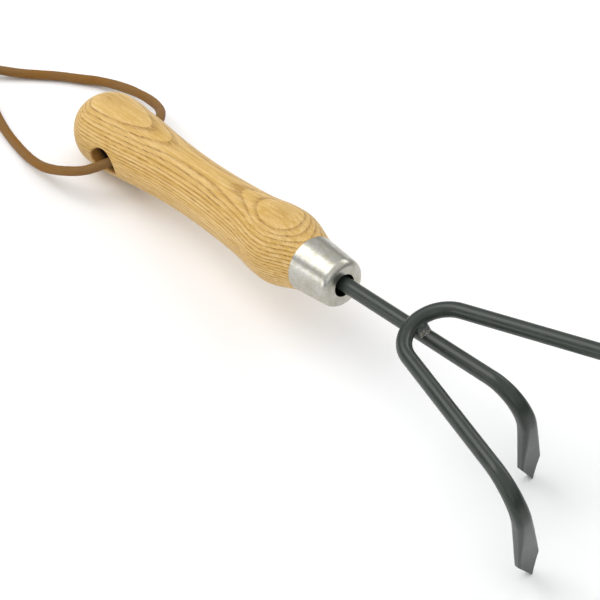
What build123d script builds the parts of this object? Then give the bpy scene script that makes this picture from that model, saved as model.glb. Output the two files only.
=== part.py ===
"""Three-prong hand cultivator: ash handle, plated ferrule, welded rod tines, leather hanging thong.

All lengths are millimetres. The tool lies at rest on a flat surface, Z = 0, touching it with the
butt of the handle, the point of the centre tine and the point of one outer tine. The tool's own
frame, `tool`, starts at the middle of the ferrule's front face: local X runs along the neck
towards the tines, local Z points away from the side that the tines bend to.
"""

import os
from math import cos, radians, sin, tan

from build123d import *

# Rest pose on the surface: the tool leans forward and over towards its -Y side
rest_pitch = 8.30
rest_roll = 12.59
rest_place = (23.33, -5.19, 41.60)

# Steel rod that the neck and the tines are bent from, and the corners it is forged from
rod = 6.5
rod_corner = 3.22
bend_radius = 15.3
bend_angle = 99.5

# Turned ash handle, measured back from the ferrule's front face
handle_length = 184.5
butt_start = 164.2
butt_radius = 17.7
bulge_back = 38.6
bulge_radius = 17.05
tang_length = 78.0
tang_clearance = 2.0
handle_yaw = -1.03
handle_pitch = -0.19
handle_offset = (0.0, -0.6, -0.2)
cord_hole_back = 149.5
cord_hole_radii = (7.7, 6.6)
cord_hole_rise = 0.6
cord_hole_rounding = 1.2

# Plated ferrule
ferrule_length = 21.1
ferrule_back = 24.9
ferrule_front = 21.3
ferrule_wall = 1.2
ferrule_edge = 3.2
ferrule_hole = 10.3
recess_radius = 7.5
recess_depth = 6.0

# Neck and centre tine
neck_length = 84.0
centre_drop = 39.6

# Outer tines: one rod bent to a narrow U, laid on the neck and welded
yoke_start = 43.5
yoke_height = 5.85
yoke_radius = 15.3
yoke_half_angle = 15.8
leg_length = 65.8
outer_drop = 42.6

# Forged points: distance from the end of the bend, width, thickness, corner and forward offset
forging = (
    (0.0, 7.7, 6.0, 2.3, 0.0),
    (5.0, 8.1, 5.7, 2.0, 0.0),
    (11.0, 8.8, 5.0, 1.6, -0.1),
    (19.0, 9.9, 3.9, 1.1, -0.3),
    (27.0, 10.9, 3.1, 0.8, -0.5),
)
point_length = 13.0

# Weld bead
bead_radius = 2.8
bead_length = 8.0

# Leather thong: the corner points of its two strands, from the middle of the cord hole to the knot
thong = 4.5
hole_middle = (-121.5, -3.5, 20.5)
near_lay = (
    hole_middle,
    (-120.5, -10.0, 19.5),
    (-121.0, -16.5, 18.5),
    (-123.5, -23.0, 17.0),
    (-127.0, -28.0, 15.0),
    (-133.0, -32.0, 13.0),
    (-140.5, -34.5, 10.0),
    (-149.5, -35.5, 6.5),
    (-160.0, -35.0, 4.0),
    (-170.5, -33.5, 2.5),
    (-181.5, -32.0, 2.5),
    (-192.0, -29.5, 2.5),
    (-203.0, -26.0, 2.5),
    (-214.5, -22.5, 3.3),
    (-226.5, -19.3, 6.2),
    (-238.5, -22.8, 6.2),
)
far_lay = (
    hole_middle,
    (-122.5, 3.0, 21.5),
    (-124.0, 9.0, 21.5),
    (-127.0, 15.0, 20.5),
    (-131.5, 20.0, 19.0),
    (-137.5, 24.5, 16.0),
    (-147.5, 29.0, 11.5),
    (-160.5, 31.5, 7.0),
    (-174.0, 30.0, 4.5),
    (-186.0, 25.5, 3.0),
    (-194.5, 19.0, 2.5),
    (-203.0, 12.5, 2.5),
    (-211.5, 4.0, 2.5),
    (-219.5, -4.5, 3.3),
    (-230.3, -15.2, 6.2),
    (-239.9, -18.0, 6.2),
)

# Knot that ties the two strands side by side, and the cut tails beyond it
knot_heading = (-0.96, -0.28, 0)
knot_length = 14.0
knot_width = 18.5
knot_height = 12.5
knot_rounding = 5.5
tail_length = 15.0
tail_spread = 12.0
tail_droop = 0.12


def on(base, origin, x_dir, z_dir):
    """A plane whose origin and directions are given in another plane's own coordinates."""
    return Plane(base.location * Plane(origin=origin, x_dir=x_dir, z_dir=z_dir).location)


def bent_end(heel, drop, twist):
    """The bend that starts at heel, along its X, and the forged blade that it is turned into."""
    turn = radians(bend_angle)
    blade_start = (bend_radius * sin(turn), 0, -bend_radius * (1 - cos(turn)))
    along = (cos(turn), 0, -sin(turn))
    forward = (sin(turn), 0, cos(turn))
    turned = radians(twist)
    sideways = (sin(turned) * forward[0], cos(turned), sin(turned) * forward[2])
    facing = (cos(turned) * forward[0], -sin(turned), cos(turned) * forward[2])
    across = on(heel, blade_start, sideways, along)
    with BuildPart() as end:
        with BuildLine(on(heel, (0, 0, 0), (1, 0, 0), (0, -1, 0))) as bend:
            JernArc(start=(0, 0), tangent=(1, 0), radius=bend_radius, arc_size=-bend_angle)
        with BuildSketch(on(heel, (0, 0, 0), (0, 1, 0), (1, 0, 0))):
            RectangleRounded(rod, rod, rod_corner)
        with BuildSketch(across):
            RectangleRounded(*forging[0][1:4])
        sweep(path=bend.wire(), multisection=True)
        last_width = forging[-1][1]
        for distance, width, thickness, corner, offset in (*forging, (drop, *forging[-1][1:])):
            with BuildSketch(across.offset(distance)):
                with Locations((0, offset)):
                    RectangleRounded(width, thickness, corner)
        loft()
        # Two slanted cuts leave the point on the blade's middle line
        with BuildSketch(on(heel, blade_start, sideways, facing)):
            for side in (-1, 1):
                Polygon(
                    (0, -drop),
                    (side * last_width, -drop - 1),
                    (side * last_width, point_length - drop - last_width / 2),
                    (side * last_width / 2, point_length - drop),
                    align=None,
                )
        extrude(amount=rod, both=True, mode=Mode.SUBTRACT)
    return end.part


def lace(lay):
    """One strand: straight runs joined by arcs as large as the runs allow."""
    corners = [Vector(*point) for point in lay]
    radii = []
    for before, corner, after in zip(corners, corners[1:], corners[2:]):
        run_in = corner - before
        run_out = after - corner
        half_turn = radians(run_in.get_angle(run_out) / 2)
        radii.append(0.45 * min(run_in.length, run_out.length) / tan(half_turn))
    with BuildPart() as strand:
        with BuildLine() as route:
            FilletPolyline(*lay, radius=radii)
        path = route.wire()
        with BuildSketch(Plane(origin=path @ 0, z_dir=path % 0)):
            section = Circle(thong / 2)
        sweep(path=path)
    print("radii", [round(radius, 1) for radius in radii])
    print("length", round(path.length, 1), "section x length", round(section.area * path.length, 1))
    return strand.part


# The tool's frame at rest, and the handle's, which sits slightly off the neck's line
tool = Plane.XY.rotated((rest_roll, 0, 0)).rotated((0, -rest_pitch, 0))
tool = Plane(origin=rest_place, x_dir=tool.x_dir, z_dir=tool.z_dir)
grip = Plane(tool.location * Location(handle_offset, (0, handle_pitch, handle_yaw)))
grip_axis = Axis(grip.origin, grip.x_dir)

# Ferrule: a pressed thimble with a rounded front edge
ferrule_back_at = (-ferrule_length, ferrule_back / 2)
ferrule_front_at = (0, ferrule_front / 2)
with BuildPart() as ferrule:
    with BuildSketch(grip):
        with BuildLine():
            shell = FilletPolyline(
                ferrule_back_at, ferrule_front_at, (0, ferrule_hole / 2), radius=ferrule_edge
            )
            lip = Line(shell @ 1, (-ferrule_wall, ferrule_hole / 2))
            inside = FilletPolyline(
                lip @ 1,
                (-ferrule_wall, ferrule_front / 2 - ferrule_wall),
                (-ferrule_length, ferrule_back / 2 - ferrule_wall),
                radius=ferrule_edge - ferrule_wall,
            )
            Line(inside @ 1, shell @ 0)
        make_face()
    revolve(axis=grip_axis)
ferrule.part.label = "ferrule"

# Handle: domed butt, waist and bulge, then a spigot that fills the ferrule
butt_end = (-handle_length, 0)
butt_widest = (-butt_start, butt_radius)
bulge = (-bulge_back, bulge_radius)
shoulder = (-ferrule_length, 12.5)
spigot_radius = ferrule_back / 2 - ferrule_wall
with BuildPart() as handle:
    with BuildSketch(grip):
        with BuildLine():
            Bezier(butt_end, (-handle_length, 4.8), (-175.9, butt_radius), butt_widest)
            Spline(
                butt_widest,
                (-150.0, 17.05),
                (-128.7, 15.0),
                (-109.0, 13.7),
                (-89.0, 13.45),
                (-70.0, 14.1),
                (-54.0, 15.4),
                bulge,
                tangents=((1, 0), (1, 0)),
            )
            Bezier(bulge, (-32.2, bulge[1]), (-28.4, 14.4), shoulder)
            Line(shoulder, (-ferrule_length, spigot_radius))
            spigot = FilletPolyline(
                (-ferrule_length, spigot_radius),
                (-ferrule_wall, ferrule_front / 2 - ferrule_wall),
                (-ferrule_wall, 0),
                radius=ferrule_edge - ferrule_wall,
            )
            Line(spigot @ 1, butt_end)
        make_face()
    revolve(axis=grip_axis)
    with BuildSketch(on(tool, (0, 0, 0), (0, 1, 0), (1, 0, 0))):
        Circle(rod / 2)
    extrude(amount=-tang_length - tang_clearance, mode=Mode.SUBTRACT)
    # The spigot's end is dished, so the ferrule's hole opens on a dark recess
    with BuildSketch(on(grip, (0, 0, 0), (0, 1, 0), (1, 0, 0))):
        Circle(recess_radius)
    extrude(amount=-recess_depth, mode=Mode.SUBTRACT)
    cord_bore = on(grip, (-cord_hole_back, 0, cord_hole_rise), (1, 0, 0), (0, -1, 0))
    with BuildSketch(cord_bore):
        Ellipse(*cord_hole_radii)
    extrude(amount=handle_length / 4, both=True, mode=Mode.SUBTRACT)
    fillet(handle.edges(Select.LAST).filter_by(GeomType.BSPLINE), cord_hole_rounding)
handle.part.label = "handle"

# Centre tine: tang, neck, bend and forged point in one rod
neck_end = on(tool, (neck_length, 0, 0), (1, 0, 0), (0, 0, 1))
with BuildPart() as centre_tine:
    with BuildSketch(on(tool, (-tang_length, 0, 0), (0, 1, 0), (1, 0, 0))):
        Circle(rod / 2)
    extrude(amount=tang_length + neck_length)
    add(bent_end(neck_end, centre_drop, 0))
centre_tine.part.label = "centre_tine"

# Outer tines: the U lies on the neck, and each leg bends down in its own line
yoke = on(tool, (0, 0, yoke_height), (1, 0, 0), (0, 0, 1))
with BuildPart() as outer_tines:
    with BuildLine(yoke) as u_bend:
        CenterArc(
            (yoke_start + yoke_radius, 0),
            yoke_radius,
            90 + yoke_half_angle,
            180 - 2 * yoke_half_angle,
        )
    u_path = u_bend.wire()
    with BuildSketch(Plane(origin=u_path @ 0, z_dir=u_path % 0)):
        Circle(rod / 2)
    sweep(path=u_path)
    for side in (-1, 1):
        lean = radians(yoke_half_angle)
        leg_start = (
            yoke_start + yoke_radius * (1 - sin(lean)),
            side * yoke_radius * cos(lean),
            0,
        )
        heading = (cos(lean), side * sin(lean), 0)
        leg = on(yoke, leg_start, heading, (0, 0, 1))
        with BuildSketch(on(leg, (0, 0, 0), (0, 1, 0), (1, 0, 0))):
            Circle(rod / 2)
        extrude(amount=leg_length)
        leg_end = on(leg, (leg_length, 0, 0), (1, 0, 0), (0, 0, 1))
        add(bent_end(leg_end, outer_drop, side * yoke_half_angle))
    # The U is coped where it beds on the neck
    add(centre_tine.part, mode=Mode.SUBTRACT)
outer_tines.part.label = "outer_tines"

# Weld bead in the corner between the inside of the U and the top of the neck
with BuildPart() as weld_bead:
    with BuildSketch(on(tool, (yoke_start + 3.8, 0, 3.9), (1, 0, 0), (0, -1, 0))):
        Circle(bead_radius)
    extrude(amount=bead_length / 2, both=True)
    fillet(weld_bead.edges().filter_by(GeomType.CIRCLE), bead_radius * 0.8)
    add(centre_tine.part, mode=Mode.SUBTRACT)
    add(outer_tines.part, mode=Mode.SUBTRACT)
weld_bead.part.label = "weld_bead"

# Leather thong, drawn as two strands that meet in the cord hole
with BuildPart() as thong_near:
    add(lace(near_lay))
thong_near.part.label = "thong_near"

with BuildPart() as thong_far:
    add(lace(far_lay))
thong_far.part.label = "thong_far"

# Knot, with its flat entry face square to both strands, and the two tails
strand_ends = (Vector(*near_lay[-1]) + Vector(*far_lay[-1])) / 2
entry = Plane(origin=strand_ends, x_dir=(0, 0, 1), z_dir=knot_heading)
knot_rise = knot_height / 2 - strand_ends.Z
with BuildPart() as thong_knot:
    with BuildSketch(entry):
        with Locations((knot_rise, 0)):
            RectangleRounded(knot_height, knot_width, knot_rounding)
    extrude(amount=knot_length)
    fillet(thong_knot.faces().sort_by(Axis(entry.origin, entry.z_dir))[-1].edges(), knot_rounding * 0.7)
    for side in (-1, 1):
        tail_root = on(entry, (0, side * thong * 0.6, knot_length / 2), (1, 0, 0), (0, 0, 1))
        tail_turn = radians(side * tail_spread)
        tail_way = (-tail_droop, sin(tail_turn), cos(tail_turn))
        with BuildSketch(on(tail_root, (0, 0, 0), (1, 0, tail_droop), tail_way)):
            Circle(thong / 2)
        extrude(amount=knot_length / 2 + tail_length)
thong_knot.part.label = "thong_knot"

os.makedirs("parts", exist_ok=True)
pieces = (handle, ferrule, centre_tine, outer_tines, weld_bead, thong_near, thong_far, thong_knot)
for piece in pieces:
    export_step(piece.part, f"parts/{piece.part.label}.step")
    print(piece.part.label, round(piece.part.volume, 1), piece.part.bounding_box())
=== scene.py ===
"""Hand cultivator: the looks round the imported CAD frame. Lengths are metres, in the row frame."""

import math

import bmesh
import bpy
from mathutils import Matrix, Vector, noise


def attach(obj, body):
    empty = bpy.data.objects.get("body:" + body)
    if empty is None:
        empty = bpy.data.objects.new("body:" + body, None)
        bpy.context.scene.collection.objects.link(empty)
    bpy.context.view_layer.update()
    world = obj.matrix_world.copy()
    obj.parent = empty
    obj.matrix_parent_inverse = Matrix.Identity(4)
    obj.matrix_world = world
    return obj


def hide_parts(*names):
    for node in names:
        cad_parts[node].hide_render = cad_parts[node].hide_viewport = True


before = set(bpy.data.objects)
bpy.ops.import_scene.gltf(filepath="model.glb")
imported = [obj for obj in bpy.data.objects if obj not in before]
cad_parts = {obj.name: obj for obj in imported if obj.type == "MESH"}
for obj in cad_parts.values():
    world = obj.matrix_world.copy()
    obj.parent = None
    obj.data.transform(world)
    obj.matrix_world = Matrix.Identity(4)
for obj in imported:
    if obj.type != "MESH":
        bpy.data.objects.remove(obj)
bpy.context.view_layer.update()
scene = bpy.context.scene

# ---------------------------------------------------------------- the tool's own frame
REST_PITCH = math.radians(8.30)
REST_ROLL = math.radians(12.59)
HANDLE_YAW = math.radians(-1.03)
HANDLE_PITCH = math.radians(-0.19)
TOOL_AT = Vector((0.02333, -0.00519, 0.04160))
TOOL_TURN = Matrix.Rotation(-REST_PITCH, 3, "Y") @ Matrix.Rotation(REST_ROLL, 3, "X")
GRIP_TURN = TOOL_TURN @ Matrix.Rotation(HANDLE_PITCH, 3, "Y") @ Matrix.Rotation(HANDLE_YAW, 3, "Z")
GRIP_AT = TOOL_AT + TOOL_TURN @ Vector((0.0, -0.0006, -0.0002))

# ---------------------------------------------------------------- camera
CAMERA_AT = (0.45174, -0.41643, 0.62278)
CAMERA_AZIMUTH = math.radians(-42.05)
CAMERA_ELEVATION = math.radians(44.87)
CAMERA_ROLL = math.radians(1.41)

camera_data = bpy.data.cameras.new("camera")
camera_data.lens = 121.62
camera_data.sensor_width = 36.0
camera_data.clip_start = 0.05
camera_data.clip_end = 20.0
camera = bpy.data.objects.new("camera", camera_data)
scene.collection.objects.link(camera)
facing = (
    Matrix.Rotation(CAMERA_AZIMUTH + math.pi / 2, 4, "Z")
    @ Matrix.Rotation(math.pi / 2 - CAMERA_ELEVATION, 4, "X")
    @ Matrix.Rotation(CAMERA_ROLL, 4, "Z")
)
camera.matrix_world = Matrix.Translation(CAMERA_AT) @ facing
scene.camera = camera


# ---------------------------------------------------------------- node helpers
def new_material(name):
    """A new material and its shader node."""
    material = bpy.data.materials.new(name)
    material.use_nodes = True
    return material, material.node_tree.nodes["Principled BSDF"]


class Tree:
    """Adds nodes to the tree of a material or the world. Each input is a value or a socket."""

    def __init__(self, owner):
        self.tree = owner.node_tree

    def add(self, kind, inputs=None, **settings):
        node = self.tree.nodes.new(kind)
        for name, value in settings.items():
            setattr(node, name, value)
        for key, value in (inputs or {}).items():
            self.feed(value, node.inputs[key])
        return node

    def feed(self, value, socket):
        if isinstance(value, bpy.types.NodeSocket):
            self.tree.links.new(value, socket)
        else:
            socket.default_value = value

    def math(self, operation, a, b=0.0, c=0.0):
        return self.add("ShaderNodeMath", {0: a, 1: b, 2: c}, operation=operation).outputs[0]

    def ramp(self, value, stops):
        node = self.add("ShaderNodeValToRGB", {0: value})
        elements = node.color_ramp.elements
        while len(elements) < len(stops):
            elements.new(0.5)
        for element, (place, colour) in zip(elements, stops):
            element.position = place
            element.color = (*colour, 1.0)
        return node.outputs[0]

    def grey(self, value, low, high, low_out=0.0, high_out=1.0):
        """The value carried from low..high to low_out..high_out, and held at both ends."""
        node = self.add(
            "ShaderNodeMapRange", {0: value, 1: low, 2: high, 3: low_out, 4: high_out}
        )
        node.clamp = True
        return node.outputs[0]

    def mix(self, factor, a, b):
        node = self.add("ShaderNodeMix", data_type="RGBA")
        self.feed(factor, node.inputs["Factor"])
        self.feed(a if isinstance(a, bpy.types.NodeSocket) else (*a, 1.0), node.inputs[6])
        self.feed(b if isinstance(b, bpy.types.NodeSocket) else (*b, 1.0), node.inputs[7])
        return node.outputs[2]

    def noise(self, vector, scale, detail=2.0, roughness=0.5):
        inputs = {"Vector": vector, "Scale": scale, "Detail": detail, "Roughness": roughness}
        return self.add("ShaderNodeTexNoise", inputs).outputs[0]

    def place(self, turn, at):
        """Object coordinates turned into another frame."""
        source = self.add("ShaderNodeTexCoord").outputs["Object"]
        inputs = {"Vector": source, "Location": at, "Rotation": turn.to_euler()}
        return self.add("ShaderNodeMapping", inputs, vector_type="TEXTURE").outputs[0]

    def stretch(self, vector, factors):
        """The vector scaled by its own factor along each axis."""
        node = self.add("ShaderNodeVectorMath", {0: vector, 1: factors}, operation="MULTIPLY")
        return node.outputs[0]

    def bump(self, height, depth, strength):
        inputs = {"Height": height, "Distance": depth, "Strength": strength}
        return self.add("ShaderNodeBump", inputs).outputs[0]


def paint(node_name, material):
    """Gives every material slot of a CAD node this material."""
    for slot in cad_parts[node_name].material_slots:
        slot.material = material


def mesh_piece(name, shape, material):
    """A finished piece from a bmesh: it gets its material and slot, and rides on the tool."""
    bmesh.ops.recalc_face_normals(shape, faces=shape.faces)
    mesh = bpy.data.meshes.new(name)
    shape.to_mesh(mesh)
    shape.free()
    mesh.materials.append(material)
    piece = bpy.data.objects.new(name, mesh)
    scene.collection.objects.link(piece)
    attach(piece, "root")
    return piece


# ---------------------------------------------------------------- materials
# The cord hole in the handle's own frame: back from the ferrule's face, above the axis, half axes
HOLE_BACK = 0.1495
HOLE_RISE = 0.0006
HOLE_RADII = (0.0077, 0.0066)
# The tree the handle was cut from: its middle, one year's growth, and how the grain strays
TRUNK_AWAY = 0.075
TRUNK_SIDE = math.radians(73)
RING_WIDTH = 0.00130
WIDE_RING_FROM = 0.0920
WIDE_RING = 0.42
GRAIN_DRIFT = 0.0040
GRAIN_WAVER = 0.0005
GRAIN_LEAN = 0.004


def ash_wood():
    """Straight-grained ash: growth rings of large radius cut by the turned shape, open pores."""
    material, shader = new_material("ash_wood")
    t = Tree(material)
    local = t.place(GRIP_TURN, GRIP_AT)
    axes = t.add("ShaderNodeSeparateXYZ", {0: local}).outputs
    along, across, up = axes[0], axes[1], axes[2]

    # Slow drift of the grain along the handle, and its waviness
    drift = t.noise(t.stretch(local, (7, 22, 22)), 1.0, 2.0)
    waver = t.noise(t.stretch(local, (38, 90, 90)), 1.0, 2.0)
    y = t.math("ADD", across, TRUNK_AWAY * math.cos(TRUNK_SIDE))
    z = t.math("ADD", up, TRUNK_AWAY * math.sin(TRUNK_SIDE))
    reach = t.math("SQRT", t.math("ADD", t.math("MULTIPLY", y, y), t.math("MULTIPLY", z, z)))
    reach = t.math("MULTIPLY_ADD", drift, GRAIN_DRIFT, reach)
    reach = t.math("MULTIPLY_ADD", waver, GRAIN_WAVER, reach)
    reach = t.math("MULTIPLY_ADD", along, GRAIN_LEAN, reach)
    # The outermost years grew faster, so the crowns of the butt and the bulge are pale and wide
    usual = t.math("MINIMUM", reach, WIDE_RING_FROM)
    beyond = t.math("SUBTRACT", reach, usual)
    depth = t.math("SUBTRACT", usual, WIDE_RING_FROM)
    ring = t.math("MULTIPLY", t.math("MULTIPLY_ADD", beyond, WIDE_RING, depth), 1 / RING_WIDTH)
    phase = t.math("FRACT", ring)
    year = t.math("FLOOR", ring)
    year_tone = t.add("ShaderNodeTexWhiteNoise", {"W": year}, noise_dimensions="1D").outputs[0]

    # The porous early wood is a brown band that ends each ring sharply, broken into dashes
    levels = ((0.00, 0.05), (0.34, 0.09), (0.60, 0.36), (0.77, 0.85), (0.94, 1.0), (1.00, 0.05))
    early = t.ramp(phase, [(place, (level, level, level)) for place, level in levels])
    dashes = t.noise(t.stretch(local, (190, 2300, 2300)), 1.0, 2.0, 0.6)
    fibres = t.noise(t.stretch(local, (70, 3000, 3000)), 1.0, 3.0, 0.65)
    streaks = t.noise(t.stretch(local, (26, 700, 700)), 1.0, 3.0, 0.62)
    line = t.math("MULTIPLY", early, t.grey(dashes, 0.38, 0.60, 0.42, 1.0))
    line = t.math("MULTIPLY", line, t.grey(year_tone, 0.0, 1.0, 0.62, 1.0))

    pale = (0.745, 0.520, 0.212)
    honey = (0.600, 0.372, 0.092)
    tan = (0.620, 0.390, 0.118)
    fibre_brown = (0.400, 0.212, 0.036)
    ring_brown = (0.235, 0.096, 0.006)
    pore_brown = (0.135, 0.050, 0.004)
    fleck_brown = (0.370, 0.185, 0.028)
    body = t.mix(t.grey(streaks, 0.38, 0.62), pale, honey)
    blotch = t.noise(t.stretch(local, (18, 60, 60)), 1.0, 2.0)
    body = t.mix(t.grey(blotch, 0.40, 0.75, 0.0, 0.40), body, tan)
    body = t.mix(t.grey(fibres, 0.42, 0.72, 0.0, 0.34), body, fibre_brown)
    colour = t.mix(line, body, ring_brown)
    pores = t.math("MULTIPLY", t.grey(dashes, 0.58, 0.68), t.grey(early, 0.25, 0.9))
    colour = t.mix(t.math("MULTIPLY", pores, 0.70), colour, pore_brown)
    flecks = t.noise(t.stretch(local, (420, 3400, 3400)), 1.0, 2.0, 0.6)
    colour = t.mix(t.grey(flecks, 0.56, 0.68, 0.0, 0.42), colour, fleck_brown)

    # Painted shade: the cord hole is painted brown at its mouth and near black within, and the
    # wood's end in the ferrule's recess is painted near black, where shade falls
    hole_mouth_shade = (0.330, 0.135, 0.020)
    hole_painted_shadow = (0.012, 0.007, 0.004)
    recess_painted_shade = (0.006, 0.005, 0.004)
    hole_x = t.math("MULTIPLY_ADD", along, 1 / HOLE_RADII[0], HOLE_BACK / HOLE_RADII[0])
    hole_z = t.math("MULTIPLY_ADD", up, 1 / HOLE_RADII[1], -HOLE_RISE / HOLE_RADII[1])
    from_axis = t.math("MULTIPLY_ADD", hole_x, hole_x, t.math("MULTIPLY", hole_z, hole_z))
    hole_shade_mask = t.grey(from_axis, 1.22, 1.02)
    deep_hole_shade = t.grey(t.math("ABSOLUTE", across), 0.0146, 0.0114)
    # Painted shade in the cord hole: brown towards its mouth, near black deeper in
    colour = t.mix(t.math("MULTIPLY", hole_shade_mask, 0.80), colour, hole_mouth_shade)
    colour = t.mix(t.math("MULTIPLY", hole_shade_mask, deep_hole_shade), colour, hole_painted_shadow)
    # Painted shade: the wood's end in the ferrule's recess is painted near black
    colour = t.mix(t.grey(along, -0.0150, -0.0120), colour, recess_painted_shade)
    t.feed(colour, shader.inputs["Base Color"])
    t.feed(t.grey(fibres, 0.2, 0.8, 0.40, 0.52), shader.inputs["Roughness"])
    shader.inputs["Specular IOR Level"].default_value = 0.36
    grooves = t.math("SUBTRACT", 1.0, t.math("MULTIPLY", pores, 0.9))
    height = t.math("MULTIPLY_ADD", fibres, 0.25, grooves)
    t.feed(t.bump(height, 0.00012, 0.7), shader.inputs["Normal"])
    return material


def plated_steel():
    """Bright plating with fine turning marks and a faint haze."""
    material, shader = new_material("plated_steel")
    t = Tree(material)
    local = t.place(GRIP_TURN, GRIP_AT)
    shader.inputs["Metallic"].default_value = 1.0
    turned = t.noise(t.stretch(local, (5200, 260, 260)), 1.0, 2.0, 0.6)
    haze = t.noise(t.stretch(local, (330, 330, 330)), 1.0, 4.0, 0.65)
    spots = t.noise(local, 1500.0, 2.0, 0.6)
    clear = (0.475, 0.467, 0.440)
    hazy = (0.390, 0.374, 0.300)
    spotted = (0.570, 0.540, 0.420)
    colour = t.mix(t.grey(haze, 0.38, 0.66), clear, hazy)
    colour = t.mix(t.grey(spots, 0.50, 0.66, 0.0, 0.50), colour, spotted)
    t.feed(colour, shader.inputs["Base Color"])
    rough = t.math("MULTIPLY_ADD", turned, 0.10, t.grey(haze, 0.3, 0.8, 0.22, 0.33))
    t.feed(rough, shader.inputs["Roughness"])
    t.feed(t.bump(turned, 0.00002, 0.5), shader.inputs["Normal"])
    return material


def painted_steel():
    """Dark grey-green paint, slightly uneven."""
    material, shader = new_material("painted_steel")
    t = Tree(material)
    local = t.place(TOOL_TURN, TOOL_AT)
    cloud = t.noise(local, 160.0, 3.0, 0.6)
    grain = t.noise(local, 2200.0, 2.0, 0.6)
    dark = (0.015, 0.023, 0.018)
    light = (0.025, 0.033, 0.026)
    colour = t.mix(t.grey(cloud, 0.3, 0.7), dark, light)
    t.feed(colour, shader.inputs["Base Color"])
    t.feed(t.grey(cloud, 0.3, 0.75, 0.27, 0.36), shader.inputs["Roughness"])
    shader.inputs["Specular IOR Level"].default_value = 0.47
    t.feed(t.bump(grain, 0.00002, 0.35), shader.inputs["Normal"])
    return material


def brown_leather():
    """Round leather lace: fibres along its length, worn greyer in places. UVs are metres."""
    material, shader = new_material("brown_leather")
    t = Tree(material)
    uv = t.add("ShaderNodeTexCoord").outputs["UV"]
    fibres = t.noise(t.stretch(uv, (160, 2400, 1)), 1.0, 3.0, 0.6)
    creases = t.noise(t.stretch(uv, (900, 1100, 1)), 1.0, 3.0, 0.65)
    tone = t.noise(t.stretch(uv, (45, 120, 1)), 1.0, 2.0, 0.5)
    russet = (0.218, 0.093, 0.010)
    worn = (0.205, 0.110, 0.034)
    fibre_dark = (0.120, 0.066, 0.026)
    crease_pale = (0.330, 0.215, 0.110)
    colour = t.mix(t.grey(tone, 0.32, 0.68), russet, worn)
    colour = t.mix(t.grey(fibres, 0.48, 0.78, 0.0, 0.55), colour, fibre_dark)
    colour = t.mix(t.grey(creases, 0.60, 0.80, 0.0, 0.40), colour, crease_pale)
    t.feed(colour, shader.inputs["Base Color"])
    t.feed(t.grey(creases, 0.3, 0.8, 0.58, 0.75), shader.inputs["Roughness"])
    shader.inputs["Specular IOR Level"].default_value = 0.22
    height = t.math("MULTIPLY_ADD", creases, 0.6, fibres)
    t.feed(t.bump(height, 0.00010, 0.7), shader.inputs["Normal"])
    return material


WOOD = ash_wood()
PLATE = plated_steel()
PAINT = painted_steel()
LEATHER = brown_leather()

paint("handle", WOOD)
paint("ferrule", PLATE)
paint("centre_tine", PAINT)
paint("outer_tines", PAINT)

# ---------------------------------------------------------------- weld
# In the tool's own frame, in millimetres
ROD_RADIUS = 3.25
YOKE_MIDDLE = Vector((58.8, 0.0, 5.85))
YOKE_RADIUS = 15.3
# The web's root under its face, where its face turns, its toe on the neck, and the way out of it
WELD_ROOT = Vector((44.8, 0.0, 3.2))
WELD_CORNER = (47.5, 4.5)
WELD_TOE = 50.4
WELD_OUT = Vector((0.72, 0.0, 0.69))
# Half the web's width on the U, at the turn and on the neck
WELD_HALF_WIDTHS = (2.9, 3.1, 2.85)
# How far its closed back lies from the face to the root
WELD_BACK = 0.55
WELD_COLUMNS = 44
WELD_ROWS = 30


def weld_place(across, down):
    """A point of the weld's face, from the U (down 0) to the neck (1), and across it (-1 to 1)."""
    top_half, corner_half, toe_half = WELD_HALF_WIDTHS
    side = top_half * across
    tube_x = YOKE_MIDDLE.x - math.sqrt(YOKE_RADIUS**2 - side**2)
    top = Vector((tube_x + 2.75, side * 0.86, YOKE_MIDDLE.z + 1.45))
    toe_x = WELD_TOE - 2.0 * across**2 + 0.5 * noise.noise(Vector((2.2 * across, 4.0, 0.0)))
    toe_y = toe_half * across
    toe = Vector((toe_x, toe_y, math.sqrt(ROD_RADIUS**2 - toe_y**2) - 0.10))
    corner_x, corner_z = WELD_CORNER
    corner = Vector((corner_x, corner_half * across, corner_z - 1.5 * across**2))
    place = top * (1 - down) ** 2 + corner * 2 * down * (1 - down) + toe * down**2
    lumps = noise.noise(place * 0.9) * 0.42 + noise.noise(place * 2.4) * 0.20
    ripple = 0.10 * math.sin(9.0 * across + 1.5 * down)
    swell = math.sin(math.pi * down) * (1 - 0.5 * across**2)
    return place + WELD_OUT * (lumps + ripple) * swell


def weld_metal():
    """The paint over the weld, with bare specks and a brown trace at the weld's toe."""
    material, shader = new_material("weld_metal")
    t = Tree(material)
    local = t.place(TOOL_TURN, TOOL_AT)
    axes = t.add("ShaderNodeSeparateXYZ", {0: local}).outputs
    specks = t.noise(local, 2400.0, 2.0, 0.7)
    cloud = t.noise(local, 700.0, 2.0, 0.6)
    toe = t.grey(axes[2], 0.0046, 0.0034)
    bare = t.math("MULTIPLY", t.grey(specks, 0.53, 0.60), toe)
    brown = t.math("MULTIPLY", t.grey(cloud, 0.52, 0.62), toe)
    colour = t.mix(t.grey(cloud, 0.4, 0.65), (0.030, 0.038, 0.037), (0.055, 0.062, 0.058))
    colour = t.mix(brown, colour, (0.115, 0.080, 0.052))
    colour = t.mix(bare, colour, (0.480, 0.470, 0.430))
    t.feed(colour, shader.inputs["Base Color"])
    t.feed(t.math("MULTIPLY", bare, 0.8), shader.inputs["Metallic"])
    t.feed(t.grey(specks, 0.3, 0.7, 0.34, 0.55), shader.inputs["Roughness"])
    t.feed(t.bump(specks, 0.00015, 0.6), shader.inputs["Normal"])
    return material


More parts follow.
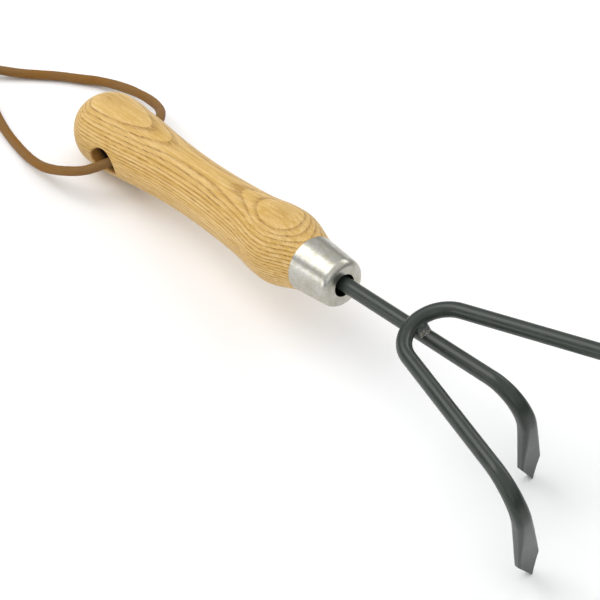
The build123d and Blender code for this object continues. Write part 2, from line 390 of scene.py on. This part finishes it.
def weld_web():
    """The weld's lumpy face, closed behind inside the U and the neck."""
    shape = bmesh.new()
    grid = []
    for column in range(WELD_COLUMNS + 1):
        across = -1 + 2 * column / WELD_COLUMNS
        places = [weld_place(across, row / WELD_ROWS) for row in range(WELD_ROWS + 1)]
        grid.append([shape.verts.new(TOOL_AT + TOOL_TURN @ (place / 1000)) for place in places])
    for left, right in zip(grid, grid[1:]):
        for row in range(WELD_ROWS):
            shape.faces.new((left[row], left[row + 1], right[row + 1], right[row]))
    on_neck = [line[-1] for line in grid]
    on_yoke = [line[0] for line in grid]
    rim = grid[0][:-1] + on_neck[:-1] + grid[-1][:0:-1] + on_yoke[:0:-1]
    root = TOOL_AT + TOOL_TURN @ (WELD_ROOT / 1000)
    behind = [shape.verts.new(vertex.co.lerp(root, WELD_BACK)) for vertex in rim]
    for index in range(len(rim)):
        shape.faces.new((rim[index], rim[index - 1], behind[index - 1], behind[index]))
    shape.faces.new(behind[::-1])
    for face in shape.faces:
        face.smooth = True
    return shape


weld = mesh_piece("weld_bead_lump", weld_web(), weld_metal())
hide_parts("weld_bead")

# ---------------------------------------------------------------- thong
THONG = 0.0045
LACE_SIDES = 18
ROUTE_STEPS = 12
# The control points of the two strands, from the middle of the cord hole to the knot, millimetres
HOLE_MIDDLE = (-121.5, -3.5, 20.5)
NEAR_LAY = (
    HOLE_MIDDLE,
    (-120.5, -10.0, 19.5),
    (-121.0, -16.5, 18.5),
    (-123.5, -23.0, 17.0),
    (-127.0, -28.0, 15.0),
    (-133.0, -32.0, 13.0),
    (-140.5, -34.5, 10.0),
    (-149.5, -35.5, 6.5),
    (-160.0, -35.0, 4.0),
    (-170.5, -33.5, 2.5),
    (-181.5, -32.0, 2.5),
    (-192.0, -29.5, 2.5),
    (-203.0, -26.0, 2.5),
    (-214.5, -22.5, 3.3),
    (-226.5, -19.3, 6.2),
    (-238.5, -22.8, 6.2),
)
FAR_LAY = (
    HOLE_MIDDLE,
    (-122.5, 3.0, 21.5),
    (-124.0, 9.0, 21.5),
    (-127.0, 15.0, 20.5),
    (-131.5, 20.0, 19.0),
    (-137.5, 24.5, 16.0),
    (-147.5, 29.0, 11.5),
    (-160.5, 31.5, 7.0),
    (-174.0, 30.0, 4.5),
    (-186.0, 25.5, 3.0),
    (-194.5, 19.0, 2.5),
    (-203.0, 12.5, 2.5),
    (-211.5, 4.0, 2.5),
    (-219.5, -4.5, 3.3),
    (-230.3, -15.2, 6.2),
    (-239.9, -18.0, 6.2),
)


def metres(point):
    """A point given in millimetres."""
    return Vector(point) / 1000


def smooth_route(name, points):
    """Points read from the NURBS spline that has these control points, in metres."""
    curve = bpy.data.curves.new(name, "CURVE")
    curve.dimensions = "3D"
    spline = curve.splines.new("NURBS")
    spline.points.add(len(points) - 1)
    for control, place in zip(spline.points, points):
        control.co = (*place, 1.0)
    spline.order_u = 3
    spline.use_endpoint_u = True
    spline.resolution_u = ROUTE_STEPS
    carrier = bpy.data.objects.new(name, curve)
    scene.collection.objects.link(carrier)
    bpy.context.view_layer.update()
    line = bpy.data.meshes.new_from_object(carrier)
    route = [vertex.co.copy() for vertex in line.vertices]
    bpy.data.objects.remove(carrier)
    bpy.data.curves.remove(curve)
    bpy.data.meshes.remove(line)
    return route


def lace(shape, uv_layer, route, seed, end_trim=0.0):
    """Adds a round lace along the route, slightly uneven, with its length and girth as UVs."""
    radius = THONG / 2
    side = Vector((0, 0, 1))
    travelled = 0.0
    last = route[0]
    rings = []
    for index, place in enumerate(route):
        ahead = route[min(index + 1, len(route) - 1)]
        behind = route[max(index - 1, 0)]
        heading = (ahead - behind).normalized()
        side = (side - heading * side.dot(heading)).normalized()
        other = heading.cross(side)
        travelled += (place - last).length
        last = place
        girth = 1.0 + 0.05 * noise.noise(Vector((travelled * 90, seed, 0)))
        if index in (0, len(route) - 1):
            girth *= 1.0 - end_trim
        ring = []
        for step in range(LACE_SIDES):
            angle = 2 * math.pi * step / LACE_SIDES
            out = side * math.cos(angle) + other * math.sin(angle)
            where = Vector((travelled * 500, 2 * math.cos(angle) + seed, math.sin(angle)))
            reach = radius * girth * (1.0 + 0.03 * noise.noise(where))
            ring.append(shape.verts.new(place + out * reach))
        rings.append((travelled, ring))
    for (start, low), (end, high) in zip(rings, rings[1:]):
        for step in range(LACE_SIDES):
            after = (step + 1) % LACE_SIDES
            face = shape.faces.new((low[step], high[step], high[after], low[after]))
            face.smooth = True
            girths = (step, step, step + 1, step + 1)
            lengths = (start, end, end, start)
            for loop, along, around in zip(face.loops, lengths, girths):
                loop[uv_layer].uv = (along + seed, around * 2 * math.pi * radius / LACE_SIDES)
    shape.faces.new(rings[0][1])
    shape.faces.new(list(reversed(rings[-1][1])))


# The knot's own directions: along it away from the handle, across it to the near side, and up.
# Its turns and tails are control points in those directions, millimetres
KNOT_AT = Vector((-239.2, -20.4, 6.2))
KNOT_ALONG = Vector((-0.96, -0.28, 0.0))
KNOT_ACROSS = Vector((0.28, -0.96, 0.0))


def knot_place(along, across, up):
    """A point given in the knot's own directions."""
    return metres(KNOT_AT + KNOT_ALONG * along + KNOT_ACROSS * across + Vector((0, 0, up)))


KNOT_TURNS = (
    (0.8, 1.5, -1.5),
    (1.9, 7.0, -3.9),
    (2.4, 7.0, 3.9),
    (3.2, -7.0, 3.9),
    (4.6, -7.0, -3.9),
    (5.9, 7.0, -3.9),
    (6.9, 7.0, 3.9),
    (7.8, -7.0, 3.9),
    (9.1, -7.0, -3.9),
    (10.4, 7.0, -3.9),
    (11.3, 7.0, 3.9),
    (11.8, -7.0, 3.9),
    (12.3, -6.0, -1.5),
    (12.6, -1.0, 0.0),
)
NEAR_TAIL = (
    (-1.5, 2.5, 0.0),
    (7.0, 2.5, 0.0),
    (14.0, 2.6, 0.0),
    (20.0, 3.7, -0.6),
    (28.6, 5.6, -1.9),
)
FAR_TAIL = (
    (-1.5, -2.5, 0.0),
    (7.0, -2.5, 0.0),
    (14.0, -2.6, 0.0),
    (20.0, -3.7, -0.8),
    (28.0, -5.4, -2.4),
)

knot_shape = bmesh.new()
knot_uv = knot_shape.loops.layers.uv.new("length")
for seed, control in ((1.0, KNOT_TURNS), (2.0, NEAR_TAIL), (3.0, FAR_TAIL)):
    route = smooth_route("knot_route", [knot_place(*point) for point in control])
    lace(knot_shape, knot_uv, route, seed, end_trim=0.12)
knot = mesh_piece("thong_knot_tied", knot_shape, LEATHER)
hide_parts("thong_knot")


def strand(name, lay, seed):
    """One strand of the thong, on the route that its CAD tube takes."""
    route = smooth_route(name + "_route", [metres(point) for point in lay])
    shape = bmesh.new()
    uv_layer = shape.loops.layers.uv.new("length")
    lace(shape, uv_layer, route, seed)
    piece = mesh_piece(name, shape, LEATHER)
    return piece


near_strand = strand("thong_near_strand", NEAR_LAY, 5.0)
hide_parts("thong_near")
far_strand = strand("thong_far_strand", FAR_LAY, 7.0)
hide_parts("thong_far")

# ---------------------------------------------------------------- floor and light
bpy.ops.mesh.primitive_plane_add(size=12.0, location=(0, 0, 0))
floor = bpy.context.object
floor.name = "floor"
floor_material, floor_shader = new_material("floor_white")
floor_shader.inputs["Base Color"].default_value = (0.94, 0.94, 0.94, 1.0)
floor_shader.inputs["Roughness"].default_value = 0.9
floor_shader.inputs["Specular IOR Level"].default_value = 0.1
floor.data.materials.append(floor_material)


def area_light(name, at, aim, size, power):
    """A rectangular light, so many watts strong, that faces the point it aims at."""
    data = bpy.data.lights.new(name, "AREA")
    data.shape = "RECTANGLE"
    data.size, data.size_y = size
    data.energy = power
    light = bpy.data.objects.new(name, data)
    scene.collection.objects.link(light)
    way = Vector(aim) - Vector(at)
    light.rotation_euler = way.to_track_quat("-Z", "Y").to_euler()
    light.location = at


TOOL_MIDDLE = (0, 0, 0.03)
area_light("key", (-0.75, -0.35, 1.10), TOOL_MIDDLE, (0.95, 0.95), 7.0)
area_light("fill", (1.1, -0.9, 0.8), TOOL_MIDDLE, (1.0, 1.0), 1.6)
area_light("back", (-0.1, 1.2, 0.9), TOOL_MIDDLE, (1.4, 0.4), 4.2)
area_light("low", (-0.35, -1.3, 0.26), (-0.03, 0, 0.03), (1.3, 0.34), 3.5)

world = bpy.data.worlds.new("studio")
scene.world = world
world.use_nodes = True
sky = Tree(world)
sky_way = sky.add("ShaderNodeTexCoord").outputs["Generated"]
heights = sky.add("ShaderNodeSeparateXYZ", {0: sky_way})
sky_stops = (
    (0.00, (0.34, 0.35, 0.35)),
    (0.30, (0.34, 0.35, 0.36)),
    (0.52, (0.72, 0.73, 0.74)),
    (0.80, (1, 1, 1)),
)
studio = sky.ramp(heights.outputs[2], sky_stops)
seen = sky.add("ShaderNodeLightPath").outputs["Is Camera Ray"]
sky_colour = sky.mix(seen, studio, (0.95, 0.95, 0.95))
background = world.node_tree.nodes["Background"]
sky.feed(sky_colour, background.inputs["Color"])
background.inputs["Strength"].default_value = 1.0
scene.view_settings.view_transform = "Standard"
